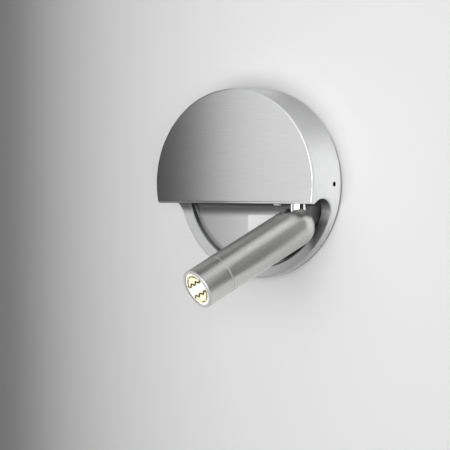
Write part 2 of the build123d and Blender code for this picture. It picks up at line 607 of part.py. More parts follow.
# Block that carries the far end of the inner cover
with BuildPart() as side_block:
    with BuildSketch(WALL.offset(BLOCK_BACK)):
        with Locations((SIDE_BLOCK_X, CEILING_TOP)):
            Rectangle(SIDE_BLOCK_WIDTH, SIDE_BLOCK_HEIGHT, align=(Align.CENTER, Align.MIN))
        Circle(CAVITY_RADIUS - LOOSE_FIT, mode=Mode.INTERSECT)
    extrude(amount=CAVITY_DEPTH - BLOCK_BACK)
    with BuildSketch(Plane.XY.offset(CEILING)):
        with Locations(COVER_SCREW_SPOTS[1]):
            Circle(COVER_SCREW_RADIUS + PUSH_FIT)
    extrude(amount=COVER_SCREW_LENGTH + FACE_GAP, mode=Mode.SUBTRACT)
    with BuildSketch(WALL.offset(BLOCK_BACK)):
        with Locations(*BLOCK_SCREW_SPOTS[2:]):
            Circle(M3_HEAD_RADIUS + FACE_GAP)
    extrude(amount=M3_HEAD, mode=Mode.SUBTRACT)
    with BuildSketch(WALL.offset(BLOCK_BACK)):
        with Locations(*BLOCK_SCREW_SPOTS[2:]):
            Circle(M3_RADIUS + PUSH_FIT)
    extrude(amount=CAVITY_DEPTH - BLOCK_BACK, mode=Mode.SUBTRACT)

with BuildPart() as block_screws:
    with BuildSketch(WALL.offset(BLOCK_BACK)):
        with Locations(*BLOCK_SCREW_SPOTS):
            Circle(M3_HEAD_RADIUS)
    extrude(amount=M3_HEAD)
    with BuildSketch(WALL.offset(BLOCK_BACK)):
        with Locations(*BLOCK_SCREW_SPOTS):
            Circle(M3_RADIUS)
    extrude(amount=CAVITY_DEPTH + BLOCK_SCREW_BITE - BLOCK_BACK)
    with BuildSketch(WALL.offset(BLOCK_BACK)):
        with Locations(*BLOCK_SCREW_SPOTS):
            RegularPolygon(M3_SOCKET, 6)
    extrude(amount=M3_SOCKET, mode=Mode.SUBTRACT)

# Flanged bush of the swivel
with BuildPart() as swivel_bush:
    with BuildSketch(POST.offset(FLANGE_BOTTOM)):
        Circle(BUSH_FLANGE_RADIUS)
    extrude(amount=BUSH_FLANGE)
    with BuildSketch(POST.offset(FLANGE_BOTTOM)):
        Circle(BUSH_RADIUS)
    extrude(amount=BLOCK_TOP - FLANGE_BOTTOM)
    with BuildSketch(POST.offset(FLANGE_BOTTOM)):
        Circle(JOURNAL_RADIUS + RUNNING_FIT)
    extrude(amount=BLOCK_TOP - FLANGE_BOTTOM, mode=Mode.SUBTRACT)

with BuildPart() as stop_pin:
    with BuildSketch(Plane.XY.offset(BLOCK_TOP - STOP_PIN_SEAT)):
        with Locations((SWIVEL_X - STOP_PIN_ORBIT, -SWIVEL_DEPTH)):
            Circle(STOP_PIN_RADIUS)
    extrude(amount=NUT_BOTTOM - BLOCK_TOP + STOP_PIN_SEAT)

# Push switch on the cover's ceiling, with a chamber for the button's flange
with BuildPart() as switch_body:
    with BuildSketch(Plane.XY.offset(CEILING_TOP)):
        with Locations(BUTTON_SPOT):
            Rectangle(SWITCH_WIDTH, SWITCH_DEEP)
    extrude(amount=SWITCH_HEIGHT)
    with BuildSketch(Plane.XY.offset(CEILING_TOP)):
        with Locations(BUTTON_SPOT):
            Circle(BUTTON_RADIUS + RUNNING_FIT)
    extrude(amount=SWITCH_FLOOR, mode=Mode.SUBTRACT)
    with BuildSketch(Plane.XY.offset(CEILING_TOP + SWITCH_FLOOR)):
        with Locations(BUTTON_SPOT):
            Circle(BUTTON_FLANGE_RADIUS + LOOSE_FIT)
    extrude(amount=BUTTON_FLANGE + BUTTON_TRAVEL + 2 * LOOSE_FIT, mode=Mode.SUBTRACT)

with BuildPart() as switch_button:
    with BuildSketch(Plane.XY.offset(LIP_BOTTOM - BUTTON_DROP)):
        with Locations(BUTTON_SPOT):
            Circle(BUTTON_RADIUS)
    extrude(amount=BUTTON_FLANGE_Z - LIP_BOTTOM + BUTTON_DROP)
    fillet(switch_button.edges().sort_by(Axis.Z)[0], BUTTON_EDGE_ROUND)
    with BuildSketch(Plane.XY.offset(BUTTON_FLANGE_Z)):
        with Locations(BUTTON_SPOT):
            Circle(BUTTON_FLANGE_RADIUS)
    extrude(amount=BUTTON_FLANGE)

# Chromed swivel post: threaded stud, journal, round shaft and a tongue round the tilt axis
with BuildPart() as swivel_post:
    with BuildSketch(POST.offset(TILT_Z + TONGUE_HEIGHT)):
        Circle(POST_RADIUS)
    extrude(amount=SHOULDER - TILT_Z - TONGUE_HEIGHT)
    with BuildSketch(POST.offset(SHOULDER)):
        Circle(JOURNAL_RADIUS)
    extrude(amount=WASHER_BOTTOM - SHOULDER)
    with BuildSketch(POST.offset(WASHER_BOTTOM)):
        Circle(STUD_RADIUS)
    extrude(amount=POST_TOP - WASHER_BOTTOM)
    with BuildSketch(POST_SIDE):
        Circle(POST_RADIUS)
        Rectangle(2 * POST_RADIUS, TONGUE_HEIGHT, align=(Align.CENTER, Align.MIN))
    extrude(amount=TONGUE_THICK / 2, both=True)
    with BuildSketch(POST_SIDE):
        Circle(TILT_PIN_RADIUS + RUNNING_FIT)
    extrude(amount=TONGUE_THICK, both=True, mode=Mode.SUBTRACT)
    with BuildSketch(POST.offset(LEAD_EXIT_Z - LEAD_BORE)):
        Circle(LEAD_BORE)
    extrude(amount=POST_TOP - LEAD_EXIT_Z + LEAD_BORE, mode=Mode.SUBTRACT)
    with BuildSketch(Plane(origin=PIVOT + Vector(0, 0, LEAD_EXIT), x_dir=LEFT, z_dir=HEADING)):
        Circle(LEAD_BORE)
    extrude(amount=POST_RADIUS + MARGIN, mode=Mode.SUBTRACT)

with BuildPart() as post_lead:
    with BuildSketch(POST.offset(LEAD_EXIT_Z)):
        Circle(LEAD_RADIUS)
    extrude(amount=POST_TOP - LEAD_EXIT_Z)

# Friction stack on the stud
with BuildPart() as thrust_washer:
    with BuildSketch(POST.offset(WASHER_BOTTOM)):
        Circle(WASHER_RADIUS)
        Circle(STUD_RADIUS + RUNNING_FIT, mode=Mode.SUBTRACT)
    extrude(amount=WASHER_THICK)

with BuildPart() as wave_washer:
    with BuildSketch(POST.offset(WAVE_BOTTOM)):
        Circle(WASHER_RADIUS)
        Circle(STUD_RADIUS + RUNNING_FIT, mode=Mode.SUBTRACT)
    extrude(amount=WAVE_THICK)

with BuildPart() as stop_disc:
    with BuildSketch(POST.offset(STOP_BOTTOM)):
        with BuildLine():
            stop_rim = CenterArc((0, 0), STOP_DISC_RADIUS, STOP_SIDE, 360 - SWIVEL_MAX - 2 * STOP_SIDE)
            Polyline(stop_rim @ 1, (0, 0), stop_rim @ 0)
        make_face()
        Circle(STOP_DISC_CORE)
        Circle(STUD_RADIUS + RUNNING_FIT, mode=Mode.SUBTRACT)
    extrude(amount=STOP_DISC_THICK)

with BuildPart() as lock_nut:
    with BuildSketch(POST.offset(NUT_BOTTOM)):
        RegularPolygon(NUT_RADIUS, 6)
        Circle(STUD_RADIUS + RUNNING_FIT, mode=Mode.SUBTRACT)
    extrude(amount=NUT_HEIGHT)

# Space that the post's shaft sweeps in the tube as it tilts
with BuildPart() as shaft_sweep:
    with BuildSketch(TUBE_SIDE):
        with BuildLine():
            ThreePointArc((0, SHAFT_FLOOR), LEAN_HALF * SHAFT_FLOOR, LEAN * SHAFT_FLOOR)
            Polyline(
                LEAN * SHAFT_FLOOR,
                SHAFT_HEEL,
                SHAFT_HEEL + LEAN * SWEEP_REACH,
                (SLOT_END, SWEEP_REACH),
                (SLOT_END, SHAFT_FLOOR),
                (0, SHAFT_FLOOR),
            )
        make_face()
    extrude(amount=SLOT_HALF, both=True)

# Space that the post's tongue sweeps, with its friction washers
with BuildPart() as tongue_sweep:
    with BuildSketch(TUBE_SIDE):
        Circle(SLOT_HALF)
        with BuildLine():
            Polyline(
                (0, 0),
                TONGUE_HEEL,
                TONGUE_HEEL + LEAN * SWEEP_REACH,
                (SLOT_END, SWEEP_REACH),
                (SLOT_END, 0),
                (0, 0),
            )
        make_face()
    extrude(amount=CHEEK_HALF, both=True)

# Lamp barrel with a round rear end and a spigot for the front ring
with BuildPart() as lamp_barrel:
    with BuildSketch(TUBE_SIDE):
        with BuildLine():
            RadiusArc((REAR, 0), (DOME_OFFSET, TUBE_RADIUS), TUBE_RADIUS)
            Polyline(
                (DOME_OFFSET, TUBE_RADIUS),
                (BARREL_FRONT, TUBE_RADIUS),
                (BARREL_FRONT, SPIGOT_RADIUS),
                (SPIGOT_FRONT, SPIGOT_RADIUS),
                (SPIGOT_FRONT, TUBE_BORE),
                (DOME_OFFSET, TUBE_BORE),
            )
            RadiusArc((DOME_OFFSET, TUBE_BORE), (DOME_OFFSET - TUBE_BORE, 0), -TUBE_BORE)
            Line((DOME_OFFSET - TUBE_BORE, 0), (REAR, 0))
        make_face()
    revolve(axis=TUBE_AXIS)
    add(shaft_sweep.part, mode=Mode.SUBTRACT)
    add(tongue_sweep.part, mode=Mode.SUBTRACT)

# Clevis in the barrel's rear end
with BuildPart() as tilt_yoke:
    with BuildSketch(TUBE_SIDE):
        with BuildLine():
            RadiusArc((DOME_OFFSET - INNER_FIT, 0), (DOME_OFFSET, INNER_FIT), INNER_FIT)
            Polyline(
                (DOME_OFFSET, INNER_FIT),
                (YOKE_LENGTH, INNER_FIT),
                (YOKE_LENGTH, 0),
                (DOME_OFFSET - INNER_FIT, 0),
            )
        make_face()
    revolve(axis=TUBE_AXIS)
    add(shaft_sweep.part, mode=Mode.SUBTRACT)
    add(tongue_sweep.part, mode=Mode.SUBTRACT)
    with BuildSketch(TUBE_SIDE):
        Circle(TILT_PIN_RADIUS + PUSH_FIT)
    extrude(amount=TUBE_RADIUS, both=True, mode=Mode.SUBTRACT)
    with BuildSketch(TUBE):
        with Locations((0, LEAD_RISE)):
            Circle(LEAD_BORE)
    extrude(amount=YOKE_LENGTH, mode=Mode.SUBTRACT)

with BuildPart() as tilt_pin:
    with BuildSketch(TUBE_SIDE):
        Circle(TILT_PIN_RADIUS)
    extrude(amount=TILT_PIN_HALF, both=True)

with BuildPart() as tilt_washers:
    for side in (-1, 1):
        with BuildSketch(TUBE_SIDE.offset(side * (TONGUE_THICK / 2 + FACE_GAP))):
            Circle(TILT_WASHER_RADIUS)
            Circle(TILT_PIN_RADIUS + RUNNING_FIT, mode=Mode.SUBTRACT)
        extrude(amount=side * TILT_WASHER_THICK)

# Light engine
with BuildPart() as heat_sink:
    with BuildSketch(TUBE.offset(SPIGOT_FRONT - HEAT_SINK_LENGTH)):
        Circle(INNER_FIT)
        with Locations((0, LEAD_RISE)):
            Circle(LEAD_BORE, mode=Mode.SUBTRACT)
    extrude(amount=HEAT_SINK_LENGTH)
    with BuildSketch(ROWS.offset(SPIGOT_FRONT)):
        with PolarLocations(BOARD_SCREW_ORBIT, 2):
            Circle(BOARD_SCREW_RADIUS + PUSH_FIT)
    extrude(amount=-BOARD_SCREW_LENGTH, mode=Mode.SUBTRACT)

with BuildPart() as tube_lead:
    with BuildSketch(TUBE.offset(SLOT_END + LOOSE_FIT)):
        with Locations((0, LEAD_RISE)):
            Circle(LEAD_RADIUS)
    extrude(amount=SPIGOT_FRONT - SLOT_END - LOOSE_FIT)

with BuildPart() as led_board:
    with BuildSketch(ROWS.offset(SPIGOT_FRONT)):
        Circle(RING_BORE - BOARD_CLEARANCE)
        with PolarLocations(BOARD_SCREW_ORBIT, 2):
            Circle(BOARD_SCREW_RADIUS + PUSH_FIT, mode=Mode.SUBTRACT)
    extrude(amount=BOARD_THICK)

with BuildPart() as board_screws:
    with BuildSketch(ROWS.offset(BOARD_FRONT)):
        with PolarLocations(BOARD_SCREW_ORBIT, 2):
            Circle(BOARD_SCREW_HEAD_RADIUS)
    extrude(amount=BOARD_SCREW_HEAD)
    with BuildSketch(ROWS.offset(BOARD_FRONT)):
        with PolarLocations(BOARD_SCREW_ORBIT, 2):
            Circle(BOARD_SCREW_RADIUS)
    extrude(amount=-BOARD_SCREW_LENGTH)

with BuildPart() as led_chips:
    with BuildSketch(ROWS.offset(BOARD_FRONT)):
        with Locations(*CELL_SPOTS):
            Rectangle(CHIP_SIZE, CHIP_SIZE)
    extrude(amount=CHIP_HEIGHT)

with BuildPart() as lens_holder:
    with BuildSketch(TUBE.offset(BOARD_FRONT)):
        Circle(HOLDER_RADIUS)
        Circle(HOLDER_BORE, mode=Mode.SUBTRACT)
    extrude(amount=FLANGE_BACK - BOARD_FRONT)

# Grooves of the lens: a zigzag between each two rows of cells, and a ring round them
with BuildSketch(ROWS.offset(LIP_BACK)) as lens_grooves:
    for side in (-1, 1):
        with BuildLine():
            Polyline(
                *[
                    (step * CELL_PITCH / 2, side * (ROW_FAR if step % 2 else ROW_NEAR))
                    for step in range(-ROW_STEPS, ROW_STEPS + 1)
                ]
            )
        trace(line_width=GROOVE_WIDTH)
    Circle(LENS_FACE_RADIUS, mode=Mode.INTERSECT)
    with BuildLine():
        CenterArc((0, 0), LENS_FACE_RADIUS, 0, 360)
    trace(line_width=GROOVE_WIDTH)

# Lens: a flange behind the ring's lip, a grooved face in the ring and a cone over each LED
with BuildPart() as lens_array:
    with BuildSketch(TUBE.offset(FLANGE_BACK)):
        Circle(HOLDER_RADIUS)
    extrude(amount=LENS_FLANGE)
    with BuildSketch(TUBE.offset(LIP_BACK)):
        Circle(RING_APERTURE - FACE_GAP)
    extrude(amount=LENS_RISE)
    extrude(lens_grooves.sketch, amount=LENS_RISE, mode=Mode.SUBTRACT)
    with BuildSketch(ROWS.offset(CELL_FOOT)):
        with Locations(*CELL_SPOTS):
            Circle(CELL_FOOT_RADIUS)
    extrude(amount=FLANGE_BACK - CELL_FOOT, taper=-CELL_FLARE)

with BuildPart() as front_ring:
    with BuildSketch(TUBE.offset(RING_BACK)):
        Circle(TUBE_RADIUS)
        Circle(RING_BORE, mode=Mode.SUBTRACT)
    extrude(amount=RING_LENGTH)
    with BuildSketch(TUBE.offset(LIP_BACK)):
        Circle(RING_BORE)
        Circle(RING_APERTURE, mode=Mode.SUBTRACT)
    extrude(amount=RING_LIP)
    front_edges = front_ring.edges().filter_by(GeomType.CIRCLE).sort_by(TUBE_AXIS)[-2:]
    fillet(front_edges.sort_by(SortBy.RADIUS)[-1], RING_EDGE_ROUND)

with BuildPart() as seam_ring:
    with BuildSketch(TUBE.offset(BARREL_FRONT)):
        Circle(TUBE_RADIUS - SEAM_DEPTH)
        Circle(RING_BORE, mode=Mode.SUBTRACT)
    extrude(amount=SEAM_GAP)

pieces = {
    "disc_housing": disc_housing,
    "inner_cover": inner_cover,
    "inner_cover_screws": inner_cover_screws,
    "cover_pad": cover_pad,
    "wall_plate": wall_plate,
    "housing_grub_screws": housing_grub_screws,
    "cable_grommet": cable_grommet,
    "earth_screw": earth_screw,
    "led_driver": led_driver,
    "driver_screws": driver_screws,
    "terminal_block": terminal_block,
    "terminal_screws": terminal_screws,
    "mains_leads": mains_leads,
    "lamp_lead": lamp_lead,
    "hinge_block": hinge_block,
    "side_block": side_block,
    "block_screws": block_screws,
    "swivel_bush": swivel_bush,
    "stop_pin": stop_pin,
    "switch_body": switch_body,
    "switch_button": switch_button,
    "swivel_post": swivel_post,
    "post_lead": post_lead,
    "thrust_washer": thrust_washer,
    "wave_washer": wave_washer,
    "stop_disc": stop_disc,
    "lock_nut": lock_nut,
    "lamp_barrel": lamp_barrel,
    "tilt_yoke": tilt_yoke,
    "tilt_pin": tilt_pin,
    "tilt_washers": tilt_washers,
    "heat_sink": heat_sink,
    "tube_lead": tube_lead,
    "led_board": led_board,
    "board_screws": board_screws,
    "led_chips": led_chips,
    "lens_holder": lens_holder,
    "lens_array": lens_array,
    "front_ring": front_ring,
    "seam_ring": seam_ring,
}

os.makedirs("parts", exist_ok=True)
for name, piece in pieces.items():
    piece.part.label = name
    export_step(piece.part, f"parts/{name}.step")
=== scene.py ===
"""Looks of the swivelling wall spotlight: its finishes, the wall behind it, the light and the camera.

Lengths are metres in the part's own frame: X to the right as seen from the room, Y into the wall, Z up.
A pair of numbers for a finish gives the two ends of a change. Lines and grains are counted per metre.
"""

import json
from math import cos, radians, sin

import bmesh
import bpy
from mathutils import Matrix, Vector


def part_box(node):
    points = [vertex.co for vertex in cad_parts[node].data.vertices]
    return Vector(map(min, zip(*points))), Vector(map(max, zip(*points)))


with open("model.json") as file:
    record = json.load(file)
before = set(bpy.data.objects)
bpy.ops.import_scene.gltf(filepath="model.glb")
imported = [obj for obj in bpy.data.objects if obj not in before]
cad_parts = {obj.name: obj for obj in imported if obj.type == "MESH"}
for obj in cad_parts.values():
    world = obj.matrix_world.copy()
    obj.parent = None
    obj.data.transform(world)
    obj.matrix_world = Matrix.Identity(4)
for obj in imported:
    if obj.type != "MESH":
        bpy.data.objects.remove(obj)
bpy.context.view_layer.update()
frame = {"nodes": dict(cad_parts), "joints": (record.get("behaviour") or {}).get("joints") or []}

MM = 0.001
ORIGIN = (0, 0, 0)
X_AXIS = (1, 0, 0)
Y_AXIS = (0, 1, 0)
Z_AXIS = (0, 0, 1)

# Camera at the photograph's viewpoint
CAMERA_AZIMUTH = 34.8
CAMERA_ELEVATION = 1.3
CAMERA_DISTANCE = 1.5
CAMERA_AIM_LEFT = 0.02178  # of the origin, across the view
CAMERA_AIM_DOWN = 0.02425
CAMERA_LENS = 204.8
CAMERA_SENSOR = 36.0

# Wall and floor
WALL_GAP = 0.3 * MM
WALL_HOLE_INSET = 0.7 * MM  # hole behind the housing, inside its edge
WALL_NEAR = 0.3  # ring between the hole and the far edge
WALL_REACH = 6.0
WALL_SIDES = 128
WALL_ROUGHNESS = 0.9
WALL_IOR = 1.3
# Painted shade on the wall: its colour darkens towards the left
WALL_PALE = 0.87
WALL_DARKEST = 0.19
WALL_SHADE = 0.245  # lost at the place below, and less and less to its right
WALL_SHADE_X = -0.10
WALL_SHADE_SPAN = 0.085
WALL_SHADE_BLEND = 0.25
FLOOR_DROP = 1.2
FLOOR_X = (-4, 4)
FLOOR_Y = (-6, 0)
FLOOR_COLOUR = 0.75
FLOOR_ROUGHNESS = 0.9

# Soft boxes: place, what it is turned to where that isn't the origin, width and height, brightness
KEY_PLACE = (0.85, -0.62, 0.05)
KEY_SIZE = (0.7, 0.9)
KEY_RADIANCE = 2.4
SIDE_PLACE = (0.55, -1.0, -0.05)
SIDE_SIZE = (0.6, 0.6)
SIDE_RADIANCE = 2.6
FILL_PLACE = (0.02, -0.9, -0.08)
FILL_SIZE = (0.45, 0.5)
FILL_RADIANCE = 3.6
FRONT_PLACE = (-0.074, -0.36, 0.13)
FRONT_AIM = (-0.074, 0, 0.13)
FRONT_SIZE = (0.348, 0.50)
FRONT_RADIANCE = 0.54
LEFT_PLACE = (-0.62, -0.30, -0.03)
LEFT_AIM = (-0.62, 0, -0.03)
LEFT_SIZE = (0.30, 0.14)
LEFT_RADIANCE = 2.2
STRIP_PLACE = (0.26, -0.084, 0.378)
STRIP_AIM = (0.025, -0.05, -0.04)
STRIP_SIZE = (0.16, 0.31)
STRIP_RADIANCE = 0.74
LIP_PLACE = (-0.386, -0.08, -0.267)
LIP_AIM = (0.0125, -0.083, -0.059)
LIP_SIZE = (0.17, 0.19)
LIP_RADIANCE = 0.6
LAMP_FACTOR = 4  # watts for each unit of an area lamp's radiance and area

# Dark cards
CARD_COLOUR = 0.03
CARD_ROUGHNESS = 0.9
LEFT_CARD_X = (-0.253, -0.75)
LEFT_CARD_Y = -0.36
LEFT_CARD_Z = (-0.5, 0.5)
RIGHT_CARD_X = 0.13
RIGHT_CARD_Y = (-0.12, -0.002)
RIGHT_CARD_Z = (-0.08, 0.045)
TOP_CARD_X = (-0.05, 0.08)
TOP_CARD_Y = (-0.12, -0.02)
TOP_CARD_Z = 0.20

# Grey card just in front of the wall, round the housing's right side, with a painted reflection of the
# wall's shade that only reflections see
WALL_CARD_Y = -1 * MM
WALL_CARD_INNER = 56 * MM
WALL_CARD_OUTER = 120 * MM
WALL_CARD_TURNS = range(-85, 116, 5)  # degrees
WALL_CARD_PALE = 0.98
UPPER_GREY = 0.5
UPPER_TURN = radians(56)
UPPER_FADE = (radians(10), radians(38))
LOWER_GREY = 0.62
LOWER_TURN = radians(-50)
LOWER_FADE = (radians(8), radians(34))

# Brightness of the room by height
SKY_TOP = 0.10
SKY_LEVEL = 0.32
SKY_BOTTOM = 0.12

# Shared by several finishes
NOISE_ROUGHNESS = 0.6
NOISE_RANGE = (0.3, 0.7)
LINE_CONTRAST = (0.25, 0.75)
BRUSHED_ROUGHNESS = (0.27, 0.30)
BRUSHED_BUMP = 0.01 * MM
BRUSHED_BUMP_STRENGTH = 0.3
# Colour of painted shade in the housing's recess and the tube's slot
PAINTED_SHADE_COLOUR = 0.12

# Lens, as in the solid
ROW_TURN = 18.0
CELL_PITCH = 5.6 * MM
ROW_NEAR = 2.5 * MM
ROW_FAR = 4.1 * MM
LENS_FACE_RADIUS = 7.9 * MM
GROOVE_HALF = 0.65 * MM

# Lens finish
LENS_GLOW = 0.95
LENS_ROUGHNESS = 0.12
LENS_IOR = 1.49
LENS_WHITE = (1.0, 0.99, 0.95)
LENS_YELLOW = (0.98, 0.93, 0.64)
LENS_LINE = (0.065, 0.048, 0.012)
LENS_BODY = (0.10, 0.10, 0.09)
LENS_GROOVE = (0.03, 0.025, 0.01)
STROKE_FADE = (0.7 * GROOVE_HALF, 1.5 * GROOVE_HALF)
ARC_FADE = (0.5 * GROOVE_HALF, 1.2 * GROOVE_HALF)
ARC_BREAKS = 210.0
ARC_BREAK_LEAST = 0.3
ARC_BREAK_FADE = (0.40, 0.54)
FACE_FADE = (LENS_FACE_RADIUS + GROOVE_HALF, LENS_FACE_RADIUS + 2 * GROOVE_HALF)
OUTER_ROW_FADE = (0.8 * ROW_NEAR, ROW_NEAR)

# Tube, as in the solid
TUBE_REACH = 77.9 * MM

# Tube finish
TUBE_GRAIN = 1300
TUBE_LINES = (1400, 1400, 40)
TUBE_LINES_SHARE = 0.4
TUBE_DARK = (0.59, 0.59, 0.58)
TUBE_PALE = (0.75, 0.75, 0.74)
TUBE_ROUGHNESS = (0.33, 0.41)
TUBE_BUMP = 0.012 * MM
TUBE_BUMP_STRENGTH = 0.4
SLOT_FADE = (-2.5 * MM, -1.0 * MM)
END_METALLIC = 0.4
END_FADE = (TUBE_REACH - 0.9 * MM, TUBE_REACH - 0.5 * MM)
TAIL_METALLIC = 0.1
TAIL_FACING = (0.6, 0.85)
TAIL_FADE = (0.0, 4 * MM)

# Housing, as in the solid
RIM_DEPTH = -6.4 * MM
FRONT_DEPTH = -30.3 * MM
SIDE_INNER = 48.5 * MM

# Housing finish
LEVEL_LINES = (70, 300, 1500)
TURNED_LINES = (300, 1100, 300)
HOUSING_DARK = (0.755, 0.758, 0.763)
HOUSING_PALE = (0.825, 0.825, 0.825)
HOUSING_ANISOTROPY = 0.8
SIDE_ROUGHNESS = 0.5
RIM_ROUGHNESS = 0.8
RIM_METALLIC = 0.55
# Painted shade in the screw hole
HOLE_PAINTED_SHADE = 0.015
FLAT_FACING = (0.85, 0.97)
RIM_FACE = (RIM_DEPTH - 2 * MM, RIM_DEPTH - 1 * MM)

# Housing's front edge, matt on the right
EDGE_ROUGHNESS = 0.75
EDGE_METALLIC = 0.1
EDGE_DEPTH = (FRONT_DEPTH + 1.0 * MM, FRONT_DEPTH + 1.6 * MM)
EDGE_ACROSS = (-10 * MM, 15 * MM)

# Painted shadow line along the housing's back edge, in the lower half
BACK_DEPTH = (-1.2 * MM, -0.8 * MM)
BACK_HEIGHT = (5 * MM, 35 * MM)

# Painted shade on the inside of the rim, lighter low on the left
INSIDE_FACING = (-25 * MM, -10 * MM)
INSIDE_DEPTH = (RIM_DEPTH + 0.6 * MM, RIM_DEPTH + 1.2 * MM)
INSIDE_PALER = 0.35
INSIDE_HEIGHT = (-31 * MM, -20 * MM)
INSIDE_ACROSS = (-5 * MM, 5 * MM)

# Painted shade on the arch and in the screw hole: faces cut into the housing look less outwards than its
# front and side
CUT_FACING = (24 * MM, 29 * MM)
ARCH_FACING = (-0.9, -0.15)
HOLE_ACROSS = (SIDE_INNER, SIDE_INNER + 1 * MM)
HOLE_HEIGHT = (2 * MM, 3 * MM)
HOLE_DEPTH = (-4.5 * MM, -4 * MM)

# Shade on the rim to the right of the tube, most at the rim's inner edge
SHADOW = (0.95, 0.7)
SHADOW_RADIUS = (SIDE_INNER, SIDE_INNER + 5.5 * MM)
SHADOW_ACROSS = (35.5 * MM, 40 * MM)
SHADOW_FOOT = (-46 * MM, -38 * MM)
SHADOW_AT_ARCH = 0.62
SHADOW_TOP = (-23 * MM, -19 * MM)

# Slight shade along the rim's outer edge on the right
OUTER_SHADE = 0.2
OUTER_ACROSS = (5 * MM, 25 * MM)
OUTER_RADIUS = (50 * MM, 54 * MM)

# Painted shade: dark line along the rim's inner edge under the tube
LINE_RADIUS = (SIDE_INNER + 0.6 * MM, SIDE_INNER + 1.1 * MM)
LINE_HEIGHT = (-32 * MM, -28 * MM)
LINE_ACROSS = (4 * MM, 12 * MM)

# Cover, as in the solid
COVER_RADIUS = 47.3 * MM

# Cover finish, with painted shade at its right end, under the lip, by its bend and along its edge
COVER_LINES = (25, 900, 1500)
COVER_DARK = (0.92, 0.92, 0.93)
COVER_PALE = (0.96, 0.96, 0.97)
COVER_SHADE = 0.14
COVER_RIGHT = (30 * MM, 44 * MM)
UNDER_LIP_SHADE = 0.94
UNDER_LIP_HEIGHT = (-14.0 * MM, -12.4 * MM)
BEND_SHADE = 0.5
BEND_HEIGHT = -17.0 * MM
BEND_FADE = (0.4 * MM, 2.6 * MM)
COVER_EDGE_SHADE = 0.62
COVER_EDGE = (COVER_RADIUS - 3.3 * MM, COVER_RADIUS - 0.3 * MM)

# Cover's darkest painted shade, low on the right and in the upper left corner
COVER_DARKEST_SHADE = 0.03
DARKEST_SHADE_RADIUS = (COVER_RADIUS - 1.4 * MM, COVER_RADIUS - 0.7 * MM)
DARKEST_SHADE_ACROSS = (0.0, 12 * MM)
CORNER_SHADE = 0.8
CORNER_ACROSS = (-42.6 * MM, -41.2 * MM)
CORNER_HEIGHT = (-19 * MM, -15 * MM)

# Finishes of the smaller pieces
CHROME_DARK = (0.84, 0.84, 0.86)
CHROME_PALE = (0.90, 0.90, 0.91)
CHROME_HAZE = (300, 300, 120)
CHROME_ROUGHNESS = (0.04, 0.10)
PLATED_GRAIN = 1500
PLATED_SHARE = 0.5
MOULDED_IOR = 1.46
MOULDED_CLOUD = 60
MOULDED_ROUGHNESS_SWING = 0.06
MOULDED_BUMP_STRENGTH = 0.4
PHOSPHOR_GRAIN = 2500
PHOSPHOR_GLOW = 1.5
PHOSPHOR_ROUGHNESS = 0.5

# Tube's own directions, from the tilt joint
joints = {joint["name"]: joint for joint in frame["joints"]}
tilt = joints["tilt"]
PIVOT = Vector(tilt["pos_m"])
LEFT = Vector(tilt["axis"]).normalized()
TILT_DOWN = radians(-tilt["range_deg"][0])
HEADING = Vector((LEFT.y, -LEFT.x, 0))
FORWARD = HEADING * cos(TILT_DOWN) - Vector((0, 0, sin(TILT_DOWN)))
TUBE_UP = HEADING * sin(TILT_DOWN) + Vector((0, 0, cos(TILT_DOWN)))
ROW = LEFT * cos(radians(ROW_TURN)) + TUBE_UP * sin(radians(ROW_TURN))
ROW_UP = TUBE_UP * cos(radians(ROW_TURN)) - LEFT * sin(radians(ROW_TURN))


def grey(value):
    return (value, value, value)


